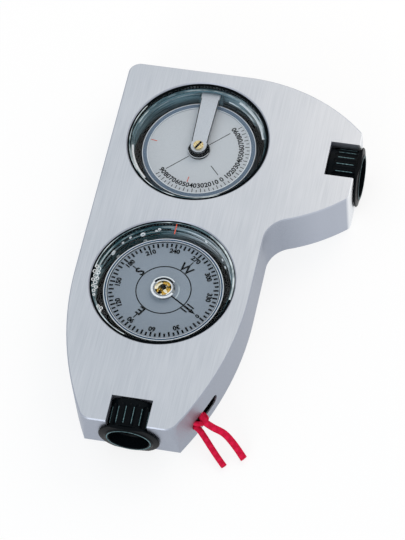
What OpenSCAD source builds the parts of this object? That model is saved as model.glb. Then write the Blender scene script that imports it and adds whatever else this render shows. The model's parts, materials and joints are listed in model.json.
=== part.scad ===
/* [Body] */
// thickness of the housing
body_t = 15.2; // [15.2:0.2:17]
// half width of the straight part
half_w = 24.6; // [24:0.2:26]
// radius of the two side arcs that narrow the compass end
side_r = 90; // [80:5:110]
// distance from the compass axis to the compass end face
tail_y = 45.65; // [44:0.5:48]
// lean of the compass end face, in degrees
tail_lean = 7.5; // [0:0.5:8]
// distance from the clinometer axis to its end face
head_len = 24; // [23:0.5:26]
// distance from the compass axis to the right end face
lobe_x = 45.4; // [44:0.2:47]
// bright break on the long edges
edge_break = 0.3; // [0.2:0.1:0.5]

/* [Windows] */
// radius of the two dial pockets
window_r = 20; // [19.8:0.1:20.4]
// distance between the two dial axes
dial_pitch = 47.5; // [46.5:0.5:48]
// thickness of the pocket floor
floor_t = 1.6; // [1.2:0.2:1.8]

/* [Capsules] */
// gap between capsule cup and pocket wall
cup_gap = 0.1; // [0.05:0.05:0.2]
// wall of the clear cup
cup_wall = 1.2; // [1:0.1:1.4]
// floor of the clear cup
cup_floor = 1.4; // [1.2:0.1:1.6]
// thickness of the clear lid
lid_t = 1.2; // [1:0.1:1.3]
// depth of the lid below the face
lid_drop = 0.4; // [0.3:0.1:0.6]
// width of the black sealing ring
gasket_w = 0.8; // [0.6:0.1:1]

/* [Compass card] */
// outer radius of the card rim
card_r = 16.6; // [16:0.1:16.8]
// depth of the card face below the top face
card_drop = 4.5; // [4.3:0.1:4.8]
// height of the edge scale
scale_h = 5.4; // [5:0.1:5.8]
// radius of the pivot needle
needle_r = 0.6; // [0.5:0.1:0.8]
// running gap of needle and shaft
pivot_gap = 0.05; // [0.03:0.01:0.08]

/* [Clinometer wheel] */
// outer radius of the wheel rim
wheel_r = 16.3; // [16:0.1:16.6]
// radius of the printed disc
disc_r = 14.6; // [14:0.1:15]
// depth of the printed disc below the top face
disc_drop = 4.9; // [4.8:0.1:5.2]
// width of the bracket at the hub
bracket_w = 4.4; // [4:0.2:5]

/* [Eyepieces] */
// radius of the fluted barrel
barrel_r = 7.3; // [7:0.1:7.3]
// gap between barrel and bore
barrel_gap = 0.2; // [0.15:0.05:0.25]
// radius of the running sleeve
sleeve_r = 5.6; // [5.5:0.1:5.7]
// running gap of the sleeve
sleeve_gap = 0.05; // [0.03:0.01:0.08]
// length of the milled slot
slot_len = 8.25; // [8:0.25:9]
// width of the milled slot
slot_w = 11.3; // [11:0.1:11.6]
// largest radius of the flange
flange_r = 8.4; // [8:0.1:8.6]
// half distance of the flange flats
flange_flat = 6.8; // [6.4:0.1:7]
// number of flutes
flutes = 21; // [18:1:22]
// depth of a flute
flute_depth = 0.5; // [0.3:0.1:0.6]

/* [Lanyard] */
// length of the lanyard slot
cord_slot_l = 11.8; // [11:0.2:13]
// height of the lanyard slot
cord_slot_h = 3.6; // [3.6:0.1:4]
// depth of the lanyard slot
cord_slot_d = 6.6; // [6:0.2:7]
// diameter of the cord
cord_d = 1.5; // [1.3:0.1:1.5]
// radius of the cross pin
pin_r = 1; // [0.8:0.1:1]

/* [Hidden] */
$fn = 96;
eps = 0.01;
mid_z = body_t / 2;
head_y = dial_pitch + head_len;
side_c = side_r - half_w;
// lobe arcs: the far edge and the flank, both pass through round centre points
far_r = 51;
far_x = 9.9;
far_y = head_y - far_r;
flank_r = 49;
flank_x = lobe_x - 33.3;
flank_y = head_y - 0.5;
notch_r = 8;
notch_x = half_w + notch_r;
notch_y = flank_y - sqrt(pow(flank_r + notch_r, 2) - pow(notch_x - flank_x, 2));
waist_y = notch_y + 13;
// corner roundings, each disc a little larger so that it crosses its neighbours cleanly
over = 0.02;
head_corner_r = 3.3;
tail_corner_r = 4;
low_corner_r = 2.5;
high_corner_r = 1.5;
tail_cx = sqrt(pow(side_r - tail_corner_r, 2) - pow(tail_y - tail_corner_r, 2)) - side_c;
tail_cy = -(tail_y - tail_corner_r);
low_cx = lobe_x - low_corner_r;
low_cy = flank_y - sqrt(pow(flank_r - low_corner_r, 2) - pow(low_cx - flank_x, 2));
high_cx = lobe_x - high_corner_r;
high_cy = far_y + sqrt(pow(far_r - high_corner_r, 2) - pow(high_cx - far_x, 2));
// capsule levels
cup_r = window_r - cup_gap;
cup_in = cup_r - cup_wall;
cup_z = floor_t + cup_floor;
lid_top = body_t - lid_drop;
lid_z = lid_top - lid_t;
lid_r = window_r - gasket_w;
card_z = body_t - card_drop;
card_t = 0.5;
magnet_l = 17;
magnet_w = 2.6;
magnet_t = 1.6;
magnet_gap = 3.4;
disc_z = body_t - disc_drop;
disc_t = 0.5;
bracket_t = 0.7;
bracket_z = lid_z - 0.9 - bracket_t;
boss_in = wheel_r + 0.5;
hub_r = 2.3;
hub_ring_r = 3.1;
hub_ring_t = 0.6;
shaft_r = 0.5;
weight_t = 2.2;
weight_edge = 3.4;
weight_hole_x = 6.5;
weight_hole_r = 0.9;
// eyepiece levels, measured outward from the end face
eye_z = 7.1;
bore_r = barrel_r + barrel_gap;
step_u = -slot_len;
sleeve_len = 5;
sight_u = step_u - sleeve_len - 0.4;
sight_t = 1;
sight_r = 5.2;
tube_r = 4.4;
path_r = 3;
lens_r = 5.6;
lens_u = -4.6;
lens_t = 1.4;
lens_rim = 0.7;
lens_ring_t = 1.3;
lens_ring_lip = 0.4;
lens_ring_slope = 0.4;
ring_wire = 0.35;
ring_u = step_u - 2.4;
// lanyard slot on the right side arc
cord_angle = -21.6;
cord_z = 5.4;
cord_pin_depth = 3.3;
cord_in = side_r - cord_slot_d;
cord_pin_shift = -2.6;
// cord centre line: inward depth from the wall, shift along the wall, height
cord_route = [[-11.8, -9.3, 1], [-9, -8.1, 1.5], [-6, -6.8, 2.5], [-3, -5.5, 3.7],
  [-1, -4.8, 4.4], [1.1, -4.6, 4.55], [3.3, -4.6, 4.55], [4.8, -3.9, 4.55], [5.3, -2.6, 4.55],
  [4.8, -1.3, 4.55], [3.3, -0.6, 4.55], [1.1, -0.6, 4.55], [-0.5, -1, 4.7], [-1.2, -1.9, 5.1],
  [-1.4, -3, 5.6], [-1, -4, 6.1], [0.2, -4.6, 6.25], [1.7, -4.6, 6.25], [3.3, -4.6, 6.25],
  [4.8, -3.9, 6.25], [5.3, -2.6, 6.25], [4.8, -1.3, 6.25], [3.3, -0.6, 6.25],
  [1.1, -0.6, 6.25], [-1, -0.6, 6.25], [-3, -0.8, 5.9], [-5.4, -1, 5], [-7.7, -1.3, 3.9],
  [-11, -2.6, 2.3], [-15.1, -4.6, 1]];

function unit(v) = v / norm(v);

function curve_at(a, b, c, d, t) = 0.5 * (2 * b + (c - a) * t
  + (2 * a - 5 * b + 4 * c - d) * t * t + (3 * b - 3 * c + d - a) * t * t * t);

function cord_place(p) = [
  (side_r - p[0]) * cos(cord_angle) - side_c - p[1] * sin(cord_angle),
  (side_r - p[0]) * sin(cord_angle) + p[1] * cos(cord_angle),
  p[2]];

route_last = len(cord_route) - 1;
cord_path = [for (i = [0 : 2 * route_last])
  let (k = min(floor(i / 2), route_last - 1), t = i / 2 - k)
    cord_place(curve_at(cord_route[max(k - 1, 0)], cord_route[k], cord_route[k + 1],
      cord_route[min(k + 2, route_last)], t))];
path_last = len(cord_path) - 1;
cord_dir = [for (i = [0 : path_last])
  unit(cord_path[min(i + 1, path_last)] - cord_path[max(i - 1, 0)])];
cord_side = [for (i = 0, v = unit(cross(cord_dir[0], [0, 0, 1])); i <= path_last;
  i = i + 1, v = i <= path_last ? unit(v - (v * cord_dir[i]) * cord_dir[i]) : v) v];

// section of a bar with broken edges, width from a to b
function section(a, b, ca, cb) = concat(
  ca ? [[a + edge_break, 0]] : [[a, 0]],
  cb ? [[b - edge_break, 0], [b, edge_break], [b, body_t - edge_break], [b - edge_break, body_t]]
     : [[b, 0], [b, body_t]],
  ca ? [[a + edge_break, body_t], [a, body_t - edge_break], [a, edge_break]] : [[a, body_t]]);

// bar along Y, broken on the chosen sides
module bar_y(x0, x1, y0, y1, left, right) {
  translate([0, y1, 0])
    rotate([90, 0, 0])
      linear_extrude(height = y1 - y0)
        polygon(section(x0, x1, left, right));
}

// bar along X, broken on the chosen sides
module bar_x(x0, x1, y0, y1, low, high) {
  translate([x0, 0, 0])
    rotate([90, 0, 90])
      linear_extrude(height = x1 - x0)
        polygon(section(y0, y1, low, high));
}

// disc of the body thickness with broken edges
module broken_disc(x, y, r) {
  translate([x, y, 0])
    rotate_extrude()
      polygon([[0, 0], [r - edge_break, 0], [r, edge_break], [r, body_t - edge_break],
        [r - edge_break, body_t], [0, body_t]]);
}

// point on the ray from a through b, a given length past b
function past(a, b, d) = b + (b - a) * d / norm(b - a);

module prism(points) {
  translate([0, 0, -1])
    linear_extrude(height = body_t + 2)
      polygon(points);
}

// place of the leaning compass end face at a given height
function tail_at(z) = (body_t - z) * tan(tail_lean) - tail_y;

// everything behind the leaning end face with its two broken edges
module behind_tail_face() {
  translate([-half_w - 10, 0, 0])
    rotate([90, 0, 90])
      linear_extrude(height = 2 * half_w + 20)
        polygon([[tail_at(0) + edge_break + 1, -1], [tail_at(edge_break), edge_break],
          [tail_at(body_t - edge_break), body_t - edge_break],
          [edge_break + 1 - tail_y, body_t + 1], [5, body_t + 1], [5, -1]]);
}

// each corner is cut along a plane through the axes of both arcs that meet there
module tail_part() {
  right = past([-side_c, 0], [tail_cx, tail_cy], tail_corner_r + 4);
  intersection() {
    union() {
      intersection() {
        broken_disc(-side_c, 0, side_r);
        broken_disc(side_c, 0, side_r);
        prism([[-half_w - 5, 0], [-right[0], right[1]], [-tail_cx, tail_cy],
          [tail_cx, tail_cy], right, [half_w + 5, 0]]);
      }
      bar_x(-tail_cx, tail_cx, -tail_y - 1, tail_cy, false, false);
      for (side = [-1, 1])
        broken_disc(side * tail_cx, tail_cy, tail_corner_r + over);
    }
    behind_tail_face();
  }
}

module block_part() {
  bar_y(-half_w, half_w, 0, waist_y, true, true);
  bar_y(-half_w, far_x, waist_y, head_y - head_corner_r, true, false);
  bar_x(head_corner_r - half_w, far_x, waist_y, head_y, false, true);
  broken_disc(head_corner_r - half_w, head_y - head_corner_r, head_corner_r + over);
}

module lobe_part() {
  low = [low_cx, low_cy];
  high = [high_cx, high_cy];
  low_out = past([flank_x, flank_y], low, low_corner_r + 4);
  high_out = past([far_x, far_y], high, high_corner_r + 4);
  bottom = flank_y - flank_r - 1;
  intersection() {
    broken_disc(far_x, far_y, far_r);
    broken_disc(flank_x, flank_y, flank_r);
    bar_y(far_x, lobe_x, bottom, head_y + 1, false, true);
    prism([[far_x, bottom], [low_out[0], bottom], low_out, low, [lobe_x + 1, low_cy],
      [lobe_x + 1, high_cy], high, high_out, [high_out[0], head_y + 1], [far_x, head_y + 1]]);
  }
  broken_disc(low_cx, low_cy, low_corner_r + over);
  broken_disc(high_cx, high_cy, high_corner_r + over);
}

module notch_fillet() {
  notch = [notch_x, notch_y];
  flank = [flank_x, flank_y];
  touch = notch + (flank - notch) * notch_r / (flank_r + notch_r);
  narrow = notch_r + over;
  wide = narrow + edge_break;
  difference() {
    linear_extrude(height = body_t)
      polygon([[half_w - 0.8, notch_y], notch, past(notch, touch, 2.8),
        [half_w - 0.8, touch[1] + 1.2]]);
    translate([notch_x, notch_y, 0])
      rotate_extrude()
        polygon([[0, -1], [wide, -1], [wide, 0], [narrow, edge_break],
          [narrow, body_t - edge_break], [wide, body_t], [wide, body_t + 1], [0, body_t + 1]]);
  }
}

// places an eyepiece: own Z is the outward sight direction
module at_compass_eye() {
  translate([0, tail_at(eye_z), eye_z])
    rotate([90 + tail_lean, 0, 0])
      children();
}

module at_clino_eye() {
  translate([lobe_x, dial_pitch, mid_z])
    rotate([0, 90, 0])
      rotate([0, 0, 90])
        children();
}

// bore for one eyepiece, cut along own Z down to the dial pocket
module eye_bore(reach) {
  translate([0, 0, step_u])
    cylinder(h = slot_len + 1, r = bore_r);
  translate([-slot_w / 2, -mid_z - 3, step_u])
    cube([slot_w, body_t + 6, slot_len + 1]);
  translate([0, 0, sight_u])
    cylinder(h = step_u - sight_u + eps, r = sleeve_r + sleeve_gap);
  translate([0, 0, sight_u - sight_t])
    cylinder(h = sight_t + eps, r = sight_r);
  translate([0, 0, -reach])
    cylinder(h = reach + sight_u, r = path_r);
}

module dial_pocket() {
  translate([0, 0, floor_t])
    cylinder(h = body_t, r = window_r);
  translate([0, 0, body_t - edge_break])
    cylinder(h = edge_break + eps, r1 = window_r, r2 = window_r + edge_break + eps);
}

module at_cord_slot() {
  rotate([0, 0, cord_angle])
    translate([cord_in, 0, cord_z])
      children();
}

module cord_pocket() {
  translate([-side_c, 0, 0])
    at_cord_slot() {
      for (end = [-1, 1])
        translate([0, end * (cord_slot_l - cord_slot_h) / 2, 0])
          rotate([0, 90, 0])
            cylinder(h = cord_slot_d + 5, r = cord_slot_h / 2);
      translate([0, -(cord_slot_l - cord_slot_h) / 2, -cord_slot_h / 2])
        cube([cord_slot_d + 5, cord_slot_l - cord_slot_h, cord_slot_h]);
    }
}

module pin_body(gap) {
  translate([-side_c, 0, 0])
    rotate([0, 0, cord_angle])
      translate([side_r - cord_pin_depth, cord_pin_shift, -gap])
        cylinder(h = cord_z + cord_slot_h / 2 + 2 + gap, r = pin_r);
}

module housing() {
  color("#b9c1cb")
    difference() {
      union() {
        tail_part();
        block_part();
        lobe_part();
        notch_fillet();
      }
      dial_pocket();
      translate([0, dial_pitch, 0])
        dial_pocket();
      at_compass_eye()
        eye_bore(tail_y - window_r + 1.5);
      at_clino_eye()
        eye_bore(lobe_x - window_r + 1.5);
      cord_pocket();
      pin_body(1);
    }
}

// clear cup of a capsule, open at the top
module cup() {
  difference() {
    translate([0, 0, floor_t])
      cylinder(h = lid_z - floor_t, r = cup_r);
    translate([0, 0, cup_z])
      cylinder(h = body_t, r = cup_in);
  }
}

module lid() {
  translate([0, 0, lid_z])
    cylinder(h = lid_t, r = lid_r);
}

module gasket() {
  translate([0, 0, lid_z])
    rotate_extrude()
      polygon([[lid_r, 0], [window_r, 0], [window_r, lid_t], [window_r - 0.2, lid_t + 0.1],
        [lid_r + 0.1, lid_t + 0.1], [lid_r, lid_t]]);
}

module compass_capsule() {
  color("#c8d4d8")
    difference() {
      cup();
      translate([0, 0, floor_t + 0.5])
        cylinder(h = cup_floor, r = 1.6);
    }
}

module compass_lid() {
  color("#dfe8ea")
    lid();
}

module compass_gasket() {
  color("#17191b")
    gasket();
}

module compass_pivot_seat() {
  color("#b08d45")
    difference() {
      translate([0, 0, floor_t + 0.5])
        cylinder(h = cup_z - floor_t + 0.1, r = 1.6);
      translate([0, 0, floor_t + 1])
        cylinder(h = 5, r = needle_r);
    }
}

module compass_pivot() {
  color("#9aa0a6")
    translate([0, 0, floor_t + 1])
      rotate_extrude()
        polygon([[0, 0], [needle_r, 0], [needle_r, card_z - floor_t - 3.2],
          [0, card_z - floor_t - 2.1]]);
}

module compass_card() {
  color("#9099a0")
    translate([0, 0, card_z - card_t])
      difference() {
        cylinder(h = card_t, r = card_r - 0.9);
        translate([0, 0, -1])
          cylinder(h = card_t + 2, r = hub_r - 0.8);
      }
}

module compass_scale_ring() {
  color("#c9ccce")
    difference() {
      translate([0, 0, card_z + 0.3 - scale_h])
        cylinder(h = scale_h, r = card_r);
      translate([0, 0, card_z - card_t])
        cylinder(h = 5, r = card_r - 0.9);
      translate([0, 0, card_z - scale_h - 1])
        cylinder(h = scale_h + 2, r = card_r - 1.5);
    }
}

// hub hangs the card on the needle, its bore runs on the needle
module compass_hub() {
  color("#c19a4b")
    translate([0, 0, card_z])
      difference() {
        union() {
          cylinder(h = 0.7, r = hub_r);
          translate([0, 0, 0.7 - eps])
            cylinder(h = 0.5 + eps, r1 = 1.5, r2 = 0.9);
          translate([0, 0, -3.4])
            cylinder(h = 3.5, r = hub_r - 0.8);
        }
        translate([0, 0, -3.5])
          cylinder(h = 1.3, r = needle_r + pivot_gap);
        translate([0, 0, -2.21])
          cylinder(h = 1.81, r = 1.1);
      }
}

module compass_jewel() {
  color("#a23a55")
    translate([0, 0, card_z - 2.2])
      difference() {
        cylinder(h = 1.8, r = 1.1);
        translate([0, 0, -eps])
          cylinder(h = 1.2 + 2 * eps, r1 = needle_r + 0.1, r2 = 0.1);
      }
}

module compass_hub_cap() {
  color("#d8e2e4")
    translate([0, 0, card_z])
      rotate_extrude()
        polygon([[hub_r, 0], [3.3, 0], [3.3, 0.7], [2.9, 1.1], [hub_r, 1.1]]);
}

module magnet(side) {
  color("#4d5257")
    translate([-magnet_l / 2, side > 0 ? magnet_gap / 2 : -magnet_gap / 2 - magnet_w,
      card_z - card_t - magnet_t])
      cube([magnet_l, magnet_w, magnet_t]);
}

module compass_magnet_left() {
  rotate([0, 0, -32])
    magnet(-1);
}

module compass_magnet_right() {
  rotate([0, 0, -32])
    magnet(1);
}

module at_clino() {
  translate([0, dial_pitch, 0])
    children();
}

module clino_capsule() {
  color("#c8d4d8")
    at_clino()
      difference() {
        union() {
          cup();
          intersection() {
            translate([-3.4, boss_in, cup_z - eps])
              cube([6.8, 4, bracket_z - cup_z + eps]);
            translate([0, 0, cup_z - eps])
              cylinder(h = body_t, r = cup_in + 0.5);
          }
        }
        translate([0, 0, floor_t + 0.5])
          cylinder(h = cup_floor, r = 1.6);
        bracket_pin();
      }
}

module clino_lid() {
  color("#dfe8ea")
    at_clino()
      lid();
}

module clino_gasket() {
  color("#17191b")
    at_clino()
      gasket();
}

// arm from the boss to the hub, a little wider at the boss
module clino_bracket() {
  reach = cup_in - 0.15;
  color("#aeb6bf")
    at_clino()
      difference() {
        translate([0, 0, bracket_z])
          intersection() {
            union() {
              linear_extrude(height = bracket_t)
                polygon([[-bracket_w / 2, 0], [bracket_w / 2, 0],
                  [bracket_w / 2 + 0.5, reach + 1], [-bracket_w / 2 - 0.5, reach + 1]]);
              cylinder(h = bracket_t, r = bracket_w / 2);
            }
            cylinder(h = bracket_t, r = reach);
          }
        translate([0, 0, bracket_z - 1])
          cylinder(h = 3, r = 1.3);
        bracket_pin();
      }
}

module bracket_pin() {
  translate([0, (boss_in + cup_in) / 2, bracket_z - 2.4])
    cylinder(h = 2.4 + bracket_t / 2, r = 0.5);
}

module clino_bracket_pin() {
  color("#9aa0a6")
    at_clino()
      bracket_pin();
}

module clino_bearing_screw() {
  color("#b8913f")
    at_clino()
      translate([0, 0, bracket_z])
        difference() {
          union() {
            translate([0, 0, -0.3])
              cylinder(h = bracket_t + 0.3, r = 1.3);
            translate([0, 0, bracket_t])
              cylinder(h = 0.5, r = 1.45);
          }
          translate([0, 0, -1])
            cylinder(h = 1.5, r = shaft_r + pivot_gap);
          rotate([0, 0, 62])
            translate([-2, -0.18, bracket_t + 0.2])
              cube([4, 0.36, 1]);
        }
}

module clino_lower_bearing() {
  color("#b08d45")
    at_clino()
      translate([0, 0, floor_t + 0.5])
        difference() {
          cylinder(h = cup_z - floor_t + 0.1, r = 1.6);
          translate([0, 0, 0.5])
            cylinder(h = 5, r = shaft_r + pivot_gap);
        }
}

module clino_dial() {
  color("#b4bcc2")
    at_clino()
      translate([0, 0, disc_z - disc_t])
        difference() {
          cylinder(h = disc_t, r = disc_r);
          translate([0, 0, -1])
            cylinder(h = 3, r = 1.2);
        }
}

module clino_scale_ring() {
  color("#7d8b99")
    at_clino()
      difference() {
        translate([0, 0, disc_z - scale_h])
          cylinder(h = scale_h + 0.2, r = wheel_r);
        translate([0, 0, disc_z - disc_t])
          cylinder(h = 5, r = disc_r);
        translate([0, 0, disc_z - scale_h - 1])
          cylinder(h = scale_h + 3, r = disc_r - 0.6);
      }
}

module clino_hub_ring() {
  color("#1c1e20")
    at_clino()
      translate([0, 0, disc_z])
        difference() {
          cylinder(h = hub_ring_t, r = hub_ring_r);
          translate([0, 0, -1])
            cylinder(h = hub_ring_t + 2, r = 1.2);
        }
}

module clino_weight() {
  color("#5b5f63")
    at_clino()
      rotate([0, 0, -135])
        translate([0, 0, disc_z - disc_t - weight_t])
          difference() {
            intersection() {
              cylinder(h = weight_t, r = disc_r - 1.4);
              translate([weight_edge, -disc_r, 0])
                cube([disc_r, disc_r * 2, weight_t + 1]);
            }
            translate([weight_hole_x, 0, -1])
              cylinder(h = weight_t + 2, r = weight_hole_r);
          }
}

module clino_shaft() {
  color("#a3a9ae")
    at_clino()
      rotate_extrude()
        polygon([[0, floor_t + 1.1], [shaft_r, floor_t + 1.1], [shaft_r, disc_z - 2.4],
          [1.2, disc_z - 2.4], [1.2, disc_z + 0.6], [shaft_r, disc_z + 0.6],
          [shaft_r, bracket_z + 0.4], [0, bracket_z + 0.4]]);
}

module sight_window() {
  translate([0, 0, sight_u - sight_t])
    cylinder(h = sight_t, r = sight_r);
}

module compass_sight_window() {
  color("#dbe6ea")
    at_compass_eye()
      sight_window();
}

module clino_sight_window() {
  color("#dbe6ea")
    at_clino_eye()
      sight_window();
}

// turned sleeve and barrel, hollow, with the groove of the friction ring
module barrel() {
  groove = sleeve_r - 2 * ring_wire;
  rotate_extrude()
    polygon([[tube_r, step_u - sleeve_len], [sleeve_r - 0.3, step_u - sleeve_len],
      [sleeve_r, step_u - sleeve_len + 0.3], [sleeve_r, ring_u - 0.6], [groove, ring_u - 0.6],
      [groove, ring_u + 0.6], [sleeve_r, ring_u + 0.6], [sleeve_r, step_u + 0.35],
      [barrel_r - 0.2, step_u + 0.35], [barrel_r, step_u + 0.55], [barrel_r, 0],
      [lens_r, 0], [lens_r, lens_u], [tube_r, lens_u]]);
}

// eye flange, two flats keep it inside the body thickness
module flange() {
  intersection() {
    rotate_extrude()
      polygon([[lens_r, 0], [barrel_r, 0], [flange_r - 0.1, 0.4], [flange_r, 0.55],
        [flange_r, 0.7], [flange_r - 0.15, 0.85], [6.8, 1.1], [6.5, 1.3], [6.3, 1.35],
        [lens_r + 0.15, 1.35], [lens_r, 1.2]]);
    translate([-20, -flange_flat, -1])
      cube([40, 2 * flange_flat, 4]);
  }
}

module eyepiece() {
  flute_r = 1;
  difference() {
    union() {
      barrel();
      flange();
    }
    for (k = [0 : flutes - 1])
      rotate([0, 0, 90 + k * 360 / flutes])
        translate([barrel_r + flute_r - flute_depth, 0, step_u + 2.5]) {
          cylinder(h = slot_len - 2.7, r = flute_r);
          sphere(r = flute_r);
        }
  }
}

// plano-convex lens, its flat rim is clamped by the ring
module eye_lens() {
  curve = 12;
  face_r = lens_r - lens_rim;
  rise = curve - sqrt(curve * curve - pow(face_r, 2));
  translate([0, 0, lens_u])
    cylinder(h = lens_t, r = lens_r);
  intersection() {
    translate([0, 0, lens_u + lens_t + rise - curve])
      sphere(r = curve);
    translate([0, 0, lens_u + lens_t])
      cylinder(h = rise + 1, r = face_r);
  }
}

module lens_ring() {
  in_r = lens_r - lens_rim;
  translate([0, 0, lens_u + lens_t])
    rotate_extrude()
      polygon([[in_r, 0], [lens_r, 0], [lens_r, lens_ring_t],
        [lens_r - lens_ring_lip, lens_ring_t], [in_r, lens_ring_t - lens_ring_slope]]);
}

module o_ring() {
  translate([0, 0, ring_u])
    rotate_extrude()
      translate([sleeve_r - ring_wire, 0])
        circle(r = ring_wire, $fn = 32);
}

module compass_eyepiece() {
  color("#1a1c1e")
    at_compass_eye()
      eyepiece();
}

module compass_eye_lens() {
  color("#cfdde6")
    at_compass_eye()
      eye_lens();
}

module compass_lens_ring() {
  color("#222426")
    at_compass_eye()
      lens_ring();
}

module compass_o_ring() {
  color("#101112")
    at_compass_eye()
      o_ring();
}

module clino_eyepiece() {
  color("#1a1c1e")
    at_clino_eye()
      eyepiece();
}

module clino_eye_lens() {
  color("#cfdde6")
    at_clino_eye()
      eye_lens();
}

module clino_lens_ring() {
  color("#222426")
    at_clino_eye()
      lens_ring();
}

module clino_o_ring() {
  color("#101112")
    at_clino_eye()
      o_ring();
}

module lanyard_pin() {
  color("#8e949a")
    pin_body(0);
}

module lanyard() {
  sides = 8;
  rings = len(cord_path);
  points = [for (i = [0 : rings - 1])
    for (k = [0 : sides - 1])
      cord_path[i] + cord_d / 2 * (cos(k * 360 / sides) * cord_side[i]
        + sin(k * 360 / sides) * cross(cord_dir[i], cord_side[i]))];
  walls = [for (i = [0 : rings - 2])
    for (k = [0 : sides - 1])
      let (a = i * sides + k, b = i * sides + (k + 1) % sides)
        for (face = [[a, a + sides, b], [b, a + sides, b + sides]])
          face];
  first = [for (k = [0 : sides - 1]) k];
  last = [for (k = [sides - 1 : -1 : 0]) (rings - 1) * sides + k];
  color("#c8283c")
    polyhedron(points = points, faces = concat([first], walls, [last]), convexity = 8);
}

housing();
compass_capsule();
compass_lid();
compass_gasket();
compass_pivot_seat();
compass_pivot();
compass_card();
compass_scale_ring();
compass_hub();
compass_hub_cap();
compass_jewel();
compass_magnet_left();
compass_magnet_right();
clino_capsule();
clino_lid();
clino_gasket();
clino_bracket();
clino_bracket_pin();
clino_bearing_screw();
clino_lower_bearing();
clino_dial();
clino_scale_ring();
clino_hub_ring();
clino_weight();
clino_shaft();
compass_sight_window();
clino_sight_window();
compass_eyepiece();
compass_eye_lens();
compass_lens_ring();
compass_o_ring();
clino_eyepiece();
clino_eye_lens();
clino_lens_ring();
clino_o_ring();
lanyard_pin();
lanyard();
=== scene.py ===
import json
import math

import bmesh
import bpy
from mathutils import Matrix, Vector


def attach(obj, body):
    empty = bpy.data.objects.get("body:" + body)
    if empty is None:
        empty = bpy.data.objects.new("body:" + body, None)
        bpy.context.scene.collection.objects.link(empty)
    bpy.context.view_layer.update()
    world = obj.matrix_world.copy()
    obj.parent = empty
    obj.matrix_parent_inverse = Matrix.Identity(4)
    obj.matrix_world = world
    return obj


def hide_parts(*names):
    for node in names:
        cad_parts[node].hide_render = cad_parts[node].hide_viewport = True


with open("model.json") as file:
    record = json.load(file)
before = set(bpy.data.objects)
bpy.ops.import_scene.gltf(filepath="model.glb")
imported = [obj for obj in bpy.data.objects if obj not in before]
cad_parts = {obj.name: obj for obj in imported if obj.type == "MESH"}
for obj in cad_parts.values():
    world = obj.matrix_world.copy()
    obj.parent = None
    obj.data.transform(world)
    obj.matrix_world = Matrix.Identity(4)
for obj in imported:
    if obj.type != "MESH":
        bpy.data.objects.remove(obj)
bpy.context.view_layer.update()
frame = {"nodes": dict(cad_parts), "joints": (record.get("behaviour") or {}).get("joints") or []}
nodes = frame["nodes"]
joints = {joint["name"]: joint for joint in frame["joints"]}
mm = 0.001


def footOf(jointName):  # where a joint's upright axis meets the table
    x, y, _ = joints[jointName]["pos_m"]
    return Vector((x, y, 0))


def topOf(nodeName):
    return max(vertex.co.z for vertex in nodes[nodeName].data.vertices)


compassAxis = footOf("card_turn")
clinoAxis = footOf("wheel_turn")


def deselectAll():
    bpy.ops.object.select_all(action="DESELECT")


def linear(hexColour):  # sRGB hex to the linear colour that Blender works in
    parts = [int(hexColour[i:i + 2], 16) / 255 for i in (1, 3, 5)]
    return [p / 12.92 if p <= 0.04045 else ((p + 0.055) / 1.055) ** 2.4 for p in parts] + [1]


def addNode(tree, kind, settings=None, links=None):
    node = tree.nodes.new(kind)
    for name, value in (settings or {}).items():
        if isinstance(name, int) or name in node.inputs:
            node.inputs[name].default_value = value
        else:
            setattr(node, name, value)
    for name, source in (links or {}).items():
        tree.links.new(source, node.inputs[name])
    return node


def newMaterial(name):
    material = bpy.data.materials.new(name)
    material.use_nodes = True
    material.node_tree.nodes.clear()
    return material, material.node_tree


noiseSpan = {"From Min": 0.3, "From Max": 0.7}  # where nearly all values of a noise lie


def stretchedNoise(tree, size, detail=2.0, roughness=0.5):  # size: one blotch in mm along X, Y, Z
    coords = addNode(tree, "ShaderNodeTexCoord")
    mapping = addNode(tree, "ShaderNodeMapping",
                      {"Scale": [1 / (s * mm) for s in size]}, {"Vector": coords.outputs["Object"]})
    return addNode(tree, "ShaderNodeTexNoise",
                   {"Scale": 1.0, "Detail": detail, "Roughness": roughness},
                   {"Vector": mapping.outputs["Vector"]})


def twoTones(tree, pattern, first, second, low=0.3, high=0.7):
    # first up to low and second from high on; each is a hex value or a socket
    share = addNode(tree, "ShaderNodeMapRange", {"From Min": low, "From Max": high},
                    {"Value": pattern})
    settings, links = {"data_type": "RGBA"}, {0: share.outputs[0]}
    for number, tone in ((6, first), (7, second)):  # the two colour sockets of the node
        if isinstance(tone, str):
            settings[number] = linear(tone)
        else:
            links[number] = tone
    return addNode(tree, "ShaderNodeMix", settings, links).outputs[2]


# camera and picture
camera = {
    "place": (0.14418, -0.41450, 0.69394),
    "turn": (0.57243, 0.06652, 0.20624),
    "lens": 197.37,
    "sensor": 36,
}
bpy.ops.object.camera_add(location=camera["place"], rotation=camera["turn"])
cameraObject = bpy.context.object
cameraObject.name = "photoCamera"
cameraObject.data.sensor_fit = "VERTICAL"
cameraObject.data.sensor_height = camera["sensor"]
cameraObject.data.lens = camera["lens"]
bpy.context.scene.camera = cameraObject
bpy.context.scene.view_settings.view_transform = "Standard"
print("camera set")

# lanyard, first because its room in the picture is measured
lanyard = {
    "diameter": 1.5 * mm,
    "wideStart": 1.748 * mm,  # the lower strand's end
    "wideEnd": 2.242 * mm,  # the upper strand's end, which is pressed flatter
    "thick": 1.3 * mm,
    "length": 61.1 * mm,
    "sides": 16,
    "stepsPerPoint": 5,
    "red": "#d81c46",
    "redDark": "#a60f2b",
    "bandsRound": 2,
    "bandLong": 2.16,  # mm along the cord
    # arc of the side wall that the cord leaves, in mm and degrees, as in the solid
    "wallRadius": 90,
    "wallCentre": -65.4,
    "wallAngle": -21.6,
    "exitPoint": (0, -4.7, 4.5),  # in the measures of the route
}
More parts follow.
